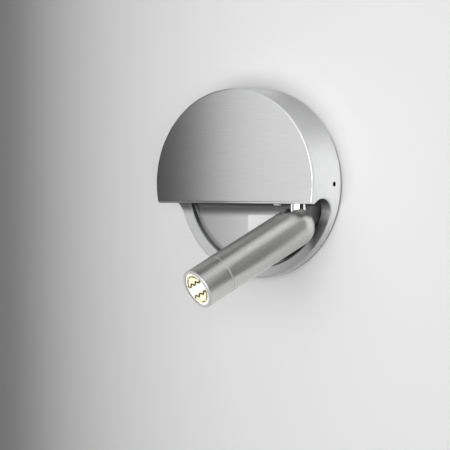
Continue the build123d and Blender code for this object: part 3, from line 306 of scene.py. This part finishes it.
class Finish:
    """One material, built node by node round a Principled surface."""

    def __init__(self, name, **sockets):
        self.material = bpy.data.materials.new(name)
        self.material.use_nodes = True
        self.tree = self.material.node_tree
        self.surface = self.tree.nodes["Principled BSDF"]
        self.set(**sockets)

    def set(self, **sockets):
        self.feed(self.surface, {key.replace("_", " "): value for key, value in sockets.items()})

    def feed(self, node, sockets):
        for socket, value in sockets.items():
            if isinstance(value, bpy.types.NodeSocket):
                self.tree.links.new(value, node.inputs[socket])
            else:
                node.inputs[socket].default_value = value

    def node(self, kind, sockets=None, output=0, **settings):
        made = self.tree.nodes.new("ShaderNode" + kind)
        for key, value in settings.items():
            setattr(made, key, value)
        self.feed(made, sockets or {})
        return made.outputs[output]

    def math(self, operation, *values):
        return self.node("Math", dict(enumerate(values)), operation=operation)

    def all_of(self, *masks):
        product = masks[0]
        for mask in masks[1:]:
            product = self.math("MULTIPLY", product, mask)
        return product

    def any_of(self, *masks):
        largest = masks[0]
        for mask in masks[1:]:
            largest = self.math("MAXIMUM", largest, mask)
        return largest

    def absolute(self, value):
        return self.math("ABSOLUTE", value)

    def distance(self, value, other):
        return self.absolute(self.math("SUBTRACT", value, other))

    def diagonal(self, first, second):
        squares = self.math("ADD", self.math("POWER", first, 2.0), self.math("POWER", second, 2.0))
        return self.math("SQRT", squares)

    def place(self):
        return self.node("TexCoord", output="Object")

    def normal(self):
        return self.node("TexCoord", output="Normal")

    def dot(self, first, second):
        return self.node("VectorMath", {0: first, 1: second}, output="Value", operation="DOT_PRODUCT")

    def along(self, direction, origin=ORIGIN):
        offset = self.node("VectorMath", {0: self.place(), 1: tuple(origin)}, operation="SUBTRACT")
        return self.dot(offset, tuple(direction))

    def noise(self, stretch, detail=2.0, vector=None):
        scaled = self.node("VectorMath", {0: vector or self.place(), 1: stretch}, operation="MULTIPLY")
        sockets = {"Vector": scaled, "Scale": 1.0, "Detail": detail, "Roughness": NOISE_ROUGHNESS}
        return self.node("TexNoise", sockets)

    def spread(self, value, ends, ramp=(0.0, 1.0), smooth=False):
        """Value carried over from a ramp to two ends, and held beyond them."""
        sockets = {
            "Value": value,
            "From Min": ramp[0],
            "From Max": ramp[1],
            "To Min": ends[0],
            "To Max": ends[1],
        }
        return self.node("MapRange", sockets, interpolation_type="SMOOTHSTEP" if smooth else "LINEAR")

    def rise(self, value, ramp, top=1.0, smooth=False):
        return self.spread(value, (0.0, top), ramp, smooth)

    def fall(self, value, ramp, top=1.0, smooth=False):
        return self.spread(value, (top, 0.0), ramp, smooth)

    def mix(self, factor, first, second):
        return self.node("Mix", {0: factor, 2: first, 3: second}, data_type="FLOAT")

    def tint(self, factor, colour, other):
        return self.node("Mix", {0: factor, 6: colour, 7: (*other, 1)}, output=2, data_type="RGBA")

    def shade(self, factor, dark, pale):
        return self.tint(factor, (*dark, 1), pale)

    def even(self, value):
        return self.node("CombineXYZ", {0: value, 1: value, 2: value})

    def bump(self, height, depth, strength):
        self.set(Normal=self.node("Bump", {"Height": height, "Distance": depth, "Strength": strength}))


def brushed_housing():
    """Front brushed level, side turned fine, rim blasted, with painted shade on the faces in the recess,
    the arch, the screw hole, the back edge and the rim by the tube.
    """
    finish = Finish("brushed_housing", Anisotropic=HOUSING_ANISOTROPY)
    level = finish.noise(LEVEL_LINES)
    turned = finish.noise(TURNED_LINES)
    normal = finish.normal()
    across = finish.along(X_AXIS)
    depth = finish.along(Y_AXIS)
    height = finish.along(Z_AXIS)
    radius = finish.diagonal(across, height)
    outwards = finish.dot(normal, finish.place())
    flat = finish.rise(finish.absolute(finish.dot(normal, Y_AXIS)), FLAT_FACING)
    turned_away = finish.math("SUBTRACT", 1.0, flat)
    rim = finish.all_of(flat, finish.rise(depth, RIM_FACE))
    front_edge = finish.all_of(
        finish.fall(depth, EDGE_DEPTH),
        turned_away,
        finish.rise(across, EDGE_ACROSS),
    )
    back_edge = finish.all_of(
        finish.rise(depth, BACK_DEPTH),
        turned_away,
        finish.fall(height, BACK_HEIGHT),
    )
    paler_left = finish.spread(height, (INSIDE_PALER, 1.0), INSIDE_HEIGHT)
    inside = finish.all_of(
        finish.fall(outwards, INSIDE_FACING),
        finish.rise(depth, INSIDE_DEPTH),
        finish.any_of(paler_left, finish.rise(across, INSIDE_ACROSS)),
    )
    cut = finish.fall(outwards, CUT_FACING)
    arch = finish.all_of(cut, finish.fall(finish.dot(normal, Z_AXIS), ARCH_FACING))
    screw_hole = finish.all_of(
        cut,
        finish.rise(finish.absolute(across), HOLE_ACROSS),
        finish.fall(finish.absolute(height), HOLE_HEIGHT),
        finish.fall(depth, HOLE_DEPTH),
    )
    shadow = finish.all_of(
        finish.spread(radius, SHADOW, SHADOW_RADIUS),
        finish.rise(across, SHADOW_ACROSS),
        finish.rise(height, SHADOW_FOOT),
        finish.spread(height, (1.0, SHADOW_AT_ARCH), SHADOW_TOP),
    )
    outer = finish.all_of(finish.rise(across, OUTER_ACROSS, OUTER_SHADE), finish.rise(radius, OUTER_RADIUS))
    under_tube = finish.all_of(
        finish.fall(radius, LINE_RADIUS),
        finish.fall(height, LINE_HEIGHT),
        finish.rise(across, LINE_ACROSS),
    )
    on_rim = finish.all_of(rim, finish.any_of(shadow, outer, under_tube))
    lines = finish.mix(flat, turned, level)
    colour = finish.shade(finish.rise(lines, LINE_CONTRAST), HOUSING_DARK, HOUSING_PALE)
    # Painted shade darkens the inside of the rim, the arch, the rim by the tube and the back edge; the
    # screw hole is painted darker still
    painted_shade = finish.tint(finish.any_of(inside, arch, on_rim, back_edge), colour, grey(PAINTED_SHADE_COLOUR))
    finish.set(Base_Color=finish.tint(screw_hole, painted_shade, grey(HOLE_PAINTED_SHADE)))
    metallic = finish.spread(rim, (1.0, RIM_METALLIC))
    finish.set(Metallic=finish.mix(front_edge, metallic, EDGE_METALLIC))
    by_side = finish.mix(flat, SIDE_ROUGHNESS, finish.spread(level, BRUSHED_ROUGHNESS))
    by_rim = finish.mix(rim, by_side, RIM_ROUGHNESS)
    finish.set(Roughness=finish.mix(front_edge, by_rim, EDGE_ROUGHNESS))
    tangent = finish.node("Mix", {0: flat, 4: Y_AXIS, 5: Z_AXIS}, output=1, data_type="VECTOR")
    finish.set(Tangent=tangent)
    finish.bump(lines, BRUSHED_BUMP, BRUSHED_BUMP_STRENGTH)
    return finish


def brushed_cover():
    """Sheet brushed level, with painted shade where the housing shades it."""
    finish = Finish("brushed_cover", Metallic=1.0)
    level = finish.noise(COVER_LINES)
    across = finish.along(X_AXIS)
    height = finish.along(Z_AXIS)
    radius = finish.diagonal(across, height)
    shaded = finish.any_of(
        finish.rise(across, COVER_RIGHT),
        finish.rise(height, UNDER_LIP_HEIGHT, UNDER_LIP_SHADE),
        finish.fall(finish.distance(height, BEND_HEIGHT), BEND_FADE, BEND_SHADE),
        finish.rise(radius, COVER_EDGE, COVER_EDGE_SHADE),
    )
    low_right = finish.all_of(finish.rise(radius, DARKEST_SHADE_RADIUS), finish.rise(across, DARKEST_SHADE_ACROSS))
    corner = finish.all_of(
        finish.fall(across, CORNER_ACROSS),
        finish.rise(height, CORNER_HEIGHT, CORNER_SHADE),
    )
    colour = finish.shade(finish.rise(level, LINE_CONTRAST), COVER_DARK, COVER_PALE)
    # Painted shade darkens the cover at its right end, under the lip, by its bend and along its edge,
    # darkest low on the right and in the upper left corner
    painted_shade = finish.tint(shaded, colour, grey(COVER_SHADE))
    finish.set(Base_Color=finish.tint(finish.any_of(low_right, corner), painted_shade, grey(COVER_DARKEST_SHADE)))
    finish.set(Roughness=finish.spread(level, BRUSHED_ROUGHNESS))
    finish.bump(level, BRUSHED_BUMP, BRUSHED_BUMP_STRENGTH)
    return finish


def satin_tube():
    """Fine blasted tube with faint lines along it, painted shade in its slot, matt at its front end and its
    tail.
    """
    finish = Finish("satin_tube")
    sideways = finish.along(LEFT, PIVOT)
    length = finish.along(FORWARD, PIVOT)
    along_tube = finish.node("CombineXYZ", {0: sideways, 1: finish.along(TUBE_UP, PIVOT), 2: length})
    grain = finish.noise(grey(TUBE_GRAIN))
    lines = finish.noise(TUBE_LINES, vector=along_tube)
    both = finish.mix(TUBE_LINES_SHARE, grain, lines)
    normal = finish.normal()
    outwards = finish.math("MULTIPLY", finish.dot(normal, tuple(LEFT)), sideways)
    colour = finish.shade(finish.rise(both, NOISE_RANGE), TUBE_DARK, TUBE_PALE)
    # Painted shade inside the slot round the post
    finish.set(Base_Color=finish.tint(finish.fall(outwards, SLOT_FADE), colour, grey(PAINTED_SHADE_COLOUR)))
    finish.set(Roughness=finish.spread(both, TUBE_ROUGHNESS, NOISE_RANGE))
    end = finish.spread(length, (1.0, END_METALLIC), END_FADE)
    upwards = finish.rise(finish.dot(normal, Z_AXIS), TAIL_FACING)
    tail = finish.all_of(upwards, finish.fall(length, TAIL_FADE))
    finish.set(Metallic=finish.mix(tail, end, TAIL_METALLIC))
    finish.bump(both, TUBE_BUMP, TUBE_BUMP_STRENGTH)
    return finish


def chrome():
    """Polished post with the faintest haze."""
    finish = Finish("chrome", Metallic=1.0)
    haze = finish.noise(CHROME_HAZE, detail=3)
    finish.set(Base_Color=finish.shade(haze, CHROME_DARK, CHROME_PALE))
    finish.set(Roughness=finish.spread(haze, CHROME_ROUGHNESS, NOISE_RANGE))
    return finish


def plated(name, dark, pale, roughness, crystals=1500):
    """Plated or machined metal: faint crystals and a fine grain."""
    finish = Finish(name, Metallic=1.0)
    cells = finish.node("TexVoronoi", {"Vector": finish.place(), "Scale": crystals}, output="Color")
    cell = finish.node("SeparateXYZ", {0: cells})
    grain = finish.noise(grey(PLATED_GRAIN))
    both = finish.mix(PLATED_SHARE, cell, grain)
    finish.set(Base_Color=finish.shade(both, dark, pale))
    finish.set(Roughness=finish.spread(both, roughness))
    finish.bump(grain, BRUSHED_BUMP, BRUSHED_BUMP_STRENGTH)
    return finish


def moulded(name, dark, pale, roughness, grain_scale=900, depth=0.01 * MM):
    """Moulded plastic or rubber with a fine skin."""
    finish = Finish(name, IOR=MOULDED_IOR)
    grain = finish.noise(grey(grain_scale), detail=3)
    cloud = finish.noise(grey(MOULDED_CLOUD))
    ends = (roughness - MOULDED_ROUGHNESS_SWING, roughness + MOULDED_ROUGHNESS_SWING)
    finish.set(Base_Color=finish.shade(cloud, dark, pale))
    finish.set(Roughness=finish.spread(grain, ends, NOISE_RANGE))
    finish.bump(grain, depth, MOULDED_BUMP_STRENGTH)
    return finish


def phosphor():
    """Lit LED under its yellow phosphor."""
    finish = Finish("led_phosphor", Emission_Strength=PHOSPHOR_GLOW, Roughness=PHOSPHOR_ROUGHNESS)
    grain = finish.noise(grey(PHOSPHOR_GRAIN))
    finish.set(Base_Color=finish.shade(grain, (0.85, 0.62, 0.16), (0.95, 0.75, 0.28)))
    finish.set(Emission_Color=finish.shade(grain, (1.0, 0.80, 0.45), (1.0, 0.88, 0.60)))
    return finish


def lit_lens():
    """Lit lens: white in its middle row and rim, pale yellow in its outer rows, dark between the rows."""
    finish = Finish("lit_lens", Emission_Strength=LENS_GLOW, Roughness=LENS_ROUGHNESS, IOR=LENS_IOR)
    along_row = finish.along(ROW, PIVOT)
    across = finish.absolute(finish.along(ROW_UP, PIVOT))
    radius = finish.diagonal(along_row, across)
    wave = finish.math("PINGPONG", along_row, CELL_PITCH / 2)
    zigzag = finish.spread(wave, (ROW_NEAR, ROW_FAR), (0.0, CELL_PITCH / 2))
    stroke = finish.fall(finish.distance(across, zigzag), STROKE_FADE, smooth=True)
    arc = finish.fall(finish.distance(radius, LENS_FACE_RADIUS), ARC_FADE, smooth=True)
    breaks = finish.spread(finish.noise(grey(ARC_BREAKS), detail=1), (ARC_BREAK_LEAST, 1.0), ARC_BREAK_FADE)
    line = finish.any_of(stroke, finish.all_of(arc, breaks))
    inside = finish.fall(radius, FACE_FADE)
    outer = finish.rise(across, OUTER_ROW_FADE, smooth=True)
    dark = finish.all_of(line, inside, outer)
    glow = finish.shade(finish.all_of(outer, inside), LENS_WHITE, LENS_YELLOW)
    finish.set(Emission_Color=finish.tint(dark, glow, LENS_LINE))
    finish.set(Base_Color=finish.shade(dark, LENS_BODY, LENS_GROOVE))
    return finish


def dress():
    """Give every solid its finish."""
    zinc = plated("zinc_steel", (0.55, 0.56, 0.58), (0.70, 0.71, 0.73), (0.25, 0.45), crystals=700)
    white = moulded("white_plastic", grey(0.80), grey(0.86), 0.45)
    cast = plated("cast_block", (0.50, 0.50, 0.51), (0.62, 0.62, 0.63), (0.35, 0.50))
    brass = plated("brass_bush", (0.62, 0.46, 0.20), (0.75, 0.58, 0.28), (0.25, 0.40))
    black = plated("black_steel", grey(0.015), grey(0.04), (0.35, 0.55))
    rubber = moulded("black_rubber", grey(0.012), grey(0.03), 0.65, 500, 0.03 * MM)
    sheath = moulded("lead_sheath", grey(0.62), grey(0.72), 0.50, 700, 0.02 * MM)
    satin = satin_tube()
    finishes = {
        "disc_housing": brushed_housing(),
        "inner_cover": brushed_cover(),
        "cover_pad": moulded("white_pad", grey(0.90), grey(0.94), 0.35, 1200),
        "led_driver": moulded("driver_case", (0.70, 0.70, 0.67), (0.78, 0.78, 0.75), 0.50, 600, 0.03 * MM),
        "swivel_post": chrome(),
        "led_board": moulded("board_white", grey(0.76), grey(0.84), 0.40, 800),
        "led_chips": phosphor(),
        "lens_array": lit_lens(),
    }
    shared = {
        zinc: (
            "inner_cover_screws", "wall_plate", "earth_screw", "driver_screws", "terminal_screws",
            "stop_pin", "wave_washer", "stop_disc", "lock_nut", "tilt_pin", "board_screws",
        ),
        white: (
            "terminal_block", "switch_body", "switch_button", "tilt_washers", "lens_holder", "seam_ring",
        ),
        cast: ("hinge_block", "side_block", "tilt_yoke", "heat_sink"),
        brass: ("swivel_bush", "thrust_washer"),
        black: ("housing_grub_screws", "block_screws"),
        rubber: ("cable_grommet",),
        sheath: ("mains_leads", "lamp_lead", "post_lead", "tube_lead"),
        satin: ("lamp_barrel", "front_ring"),
    }
    for finish, nodes in shared.items():
        finishes.update(dict.fromkeys(nodes, finish))
    for name, node in frame["nodes"].items():
        node.data.materials.clear()
        node.data.materials.append(finishes[name].material)


def rectangle(first, second):
    """Corners of a rectangle between two pairs of ends."""
    return (
        (first[0], second[0]),
        (first[1], second[0]),
        (first[1], second[1]),
        (first[0], second[1]),
    )


def stage_plane(name, corners, finish):
    mesh = bpy.data.meshes.new(name)
    mesh.from_pydata(corners, [], [range(len(corners))])
    plane = bpy.data.objects.new(name, mesh)
    plane.data.materials.append(finish.material)
    bpy.context.scene.collection.objects.link(plane)
    return plane


def wall_finish():
    """Pale wall with painted shade, darker to the left; its back lets the light and the view through."""
    finish = Finish("wall", Roughness=WALL_ROUGHNESS, IOR=WALL_IOR)
    leftwards = finish.math("SUBTRACT", WALL_SHADE_X, finish.along(X_AXIS))
    steps = finish.math("DIVIDE", leftwards, WALL_SHADE_SPAN)
    lost = finish.math("MULTIPLY", finish.math("EXPONENT", steps), WALL_SHADE)
    rest = finish.math("SUBTRACT", WALL_PALE, lost)
    finish.set(Base_Color=finish.even(finish.math("SMOOTH_MAX", rest, WALL_DARKEST, WALL_SHADE_BLEND)))
    behind = finish.node("NewGeometry", output="Backfacing")
    clear = finish.node("BsdfTransparent")
    wall = finish.node("MixShader", {0: behind, 1: finish.surface.outputs[0], 2: clear})
    finish.feed(finish.tree.nodes["Material Output"], {"Surface": wall})
    return finish


def wall_card_finish():
    """Painted reflection of the wall in the housing's side: painted shade above and below on the right,
    paler elsewhere.
    """
    finish = Finish("shade", Roughness=WALL_ROUGHNESS, IOR=WALL_IOR)
    turn = finish.math("ARCTAN2", finish.along(Z_AXIS), finish.along(X_AXIS))
    from_upper = finish.distance(turn, UPPER_TURN)
    from_lower = finish.distance(turn, LOWER_TURN)
    above = finish.spread(from_upper, (UPPER_GREY, WALL_CARD_PALE), UPPER_FADE, smooth=True)
    below = finish.spread(from_lower, (LOWER_GREY, WALL_CARD_PALE), LOWER_FADE, smooth=True)
    finish.set(Base_Color=finish.even(finish.math("MINIMUM", above, below)))
    return finish


def wall_and_floor():
    """A wall with a hole behind the housing, and a floor out of view."""
    housing_low, housing_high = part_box("disc_housing")
    hole = (housing_high.x - housing_low.x) / 2 - WALL_HOLE_INSET
    depth = housing_high.y + WALL_GAP
    wall = bmesh.new()
    rings = []
    for reach in (hole, WALL_NEAR, WALL_REACH):
        ring = []
        for side in range(WALL_SIDES):
            turn = radians(360 * side / WALL_SIDES)
            ring.append(wall.verts.new((reach * cos(turn), depth, reach * sin(turn))))
        rings.append(ring)
    for inner, outer in zip(rings, rings[1:]):
        for side in range(WALL_SIDES):
            following = (side + 1) % WALL_SIDES
            wall.faces.new((inner[side], outer[side], outer[following], inner[following]))
    mesh = bpy.data.meshes.new("wall")
    wall.to_mesh(mesh)
    wall.free()
    if mesh.polygons[0].normal.y > 0:
        mesh.flip_normals()
    mesh.materials.append(wall_finish().material)
    backdrop = bpy.data.objects.new("wall", mesh)
    bpy.context.scene.collection.objects.link(backdrop)
    floor = Finish("floor", Base_Color=(*grey(FLOOR_COLOUR), 1), Roughness=FLOOR_ROUGHNESS)
    stage_plane("floor", [(x, y, -FLOOR_DROP) for x, y in rectangle(FLOOR_X, FLOOR_Y)], floor)


def softbox(name, place, size, radiance, aim=ORIGIN, only_reflected=False):
    """Area lamp turned to what it lights, with its brightness given as the radiance of its face."""
    lamp = bpy.data.lights.new(name, "AREA")
    lamp.shape = "RECTANGLE"
    width, height = size
    lamp.size = width
    lamp.size_y = height
    lamp.energy = radiance * width * height * LAMP_FACTOR
    box = bpy.data.objects.new(name, lamp)
    box.location = place
    box.rotation_euler = (Vector(aim) - Vector(place)).to_track_quat("-Z", "Y").to_euler()
    box.visible_camera = False
    box.visible_diffuse = not only_reflected
    bpy.context.scene.collection.objects.link(box)


def reflected_card(name, corners, finish):
    """Card that only reflections see."""
    card = stage_plane(name, corners, finish)
    card.visible_camera = False
    card.visible_diffuse = False
    card.visible_shadow = False


def card_arc(radius, turns):
    return [(radius * cos(turn), WALL_CARD_Y, radius * sin(turn)) for turn in turns]


def cards():
    """Dark cards at the left, the right and the top, and a grey one in front of the wall."""
    dark = Finish("card", Base_Color=(*grey(CARD_COLOUR), 1), Roughness=CARD_ROUGHNESS)
    left = [(x, LEFT_CARD_Y, z) for x, z in rectangle(LEFT_CARD_X, LEFT_CARD_Z)]
    right = [(RIGHT_CARD_X, y, z) for y, z in rectangle(RIGHT_CARD_Y, RIGHT_CARD_Z)]
    top = [(x, y, TOP_CARD_Z) for x, y in rectangle(TOP_CARD_X, TOP_CARD_Y)]
    reflected_card("left_card", left, dark)
    reflected_card("right_card", right, dark)
    reflected_card("top_card", top, dark)
    turns = [radians(turn) for turn in WALL_CARD_TURNS]
    outline = card_arc(WALL_CARD_INNER, turns) + card_arc(WALL_CARD_OUTER, reversed(turns))
    reflected_card("wall_card", outline, wall_card_finish())


def room():
    """Dim room round the stage, palest at eye level."""
    world = bpy.data.worlds.new("room")
    world.use_nodes = True
    tree = world.node_tree
    place = tree.nodes.new("ShaderNodeTexCoord")
    axes = tree.nodes.new("ShaderNodeSeparateXYZ")
    half = tree.nodes.new("ShaderNodeMapRange")
    ramp = tree.nodes.new("ShaderNodeValToRGB")
    half.inputs["From Min"].default_value = -1.0
    tree.links.new(place.outputs["Generated"], axes.inputs[0])
    tree.links.new(axes.outputs["Z"], half.inputs["Value"])
    tree.links.new(half.outputs[0], ramp.inputs[0])
    tree.links.new(ramp.outputs[0], tree.nodes["Background"].inputs["Color"])
    stops = ramp.color_ramp.elements
    stops[0].color = (*grey(SKY_BOTTOM), 1)
    stops[1].color = (*grey(SKY_TOP), 1)
    middle = stops.new(0.5)
    middle.color = (*grey(SKY_LEVEL), 1)
    bpy.context.scene.world = world


def light():
    """Three soft boxes that light the stage, and four that only reflections see."""
    softbox("key", KEY_PLACE, KEY_SIZE, KEY_RADIANCE, only_reflected=True)
    softbox("side", SIDE_PLACE, SIDE_SIZE, SIDE_RADIANCE)
    softbox("fill", FILL_PLACE, FILL_SIZE, FILL_RADIANCE)
    softbox("front", FRONT_PLACE, FRONT_SIZE, FRONT_RADIANCE, FRONT_AIM)
    softbox("left", LEFT_PLACE, LEFT_SIZE, LEFT_RADIANCE, LEFT_AIM, only_reflected=True)
    softbox("strip", STRIP_PLACE, STRIP_SIZE, STRIP_RADIANCE, STRIP_AIM, only_reflected=True)
    softbox("lip", LIP_PLACE, LIP_SIZE, LIP_RADIANCE, LIP_AIM, only_reflected=True)


def camera():
    """Camera that looks past the origin, so that the object sits as it does in the photograph."""
    azimuth = radians(CAMERA_AZIMUTH)
    elevation = radians(CAMERA_ELEVATION)
    right = Vector((cos(azimuth), sin(azimuth), 0))
    back = Vector((sin(azimuth) * cos(elevation), -cos(azimuth) * cos(elevation), sin(elevation)))
    up = back.cross(right)
    lens = bpy.data.cameras.new("camera")
    lens.lens = CAMERA_LENS
    lens.sensor_width = CAMERA_SENSOR
    viewer = bpy.data.objects.new("camera", lens)
    place = back * CAMERA_DISTANCE - right * CAMERA_AIM_LEFT - up * CAMERA_AIM_DOWN
    viewer.matrix_world = Matrix.Translation(place) @ Matrix((right, up, back)).transposed().to_4x4()
    bpy.context.scene.collection.objects.link(viewer)
    bpy.context.scene.camera = viewer


dress()
wall_and_floor()
light()
cards()
room()
camera()
bpy.context.scene.view_settings.view_transform = "Standard"
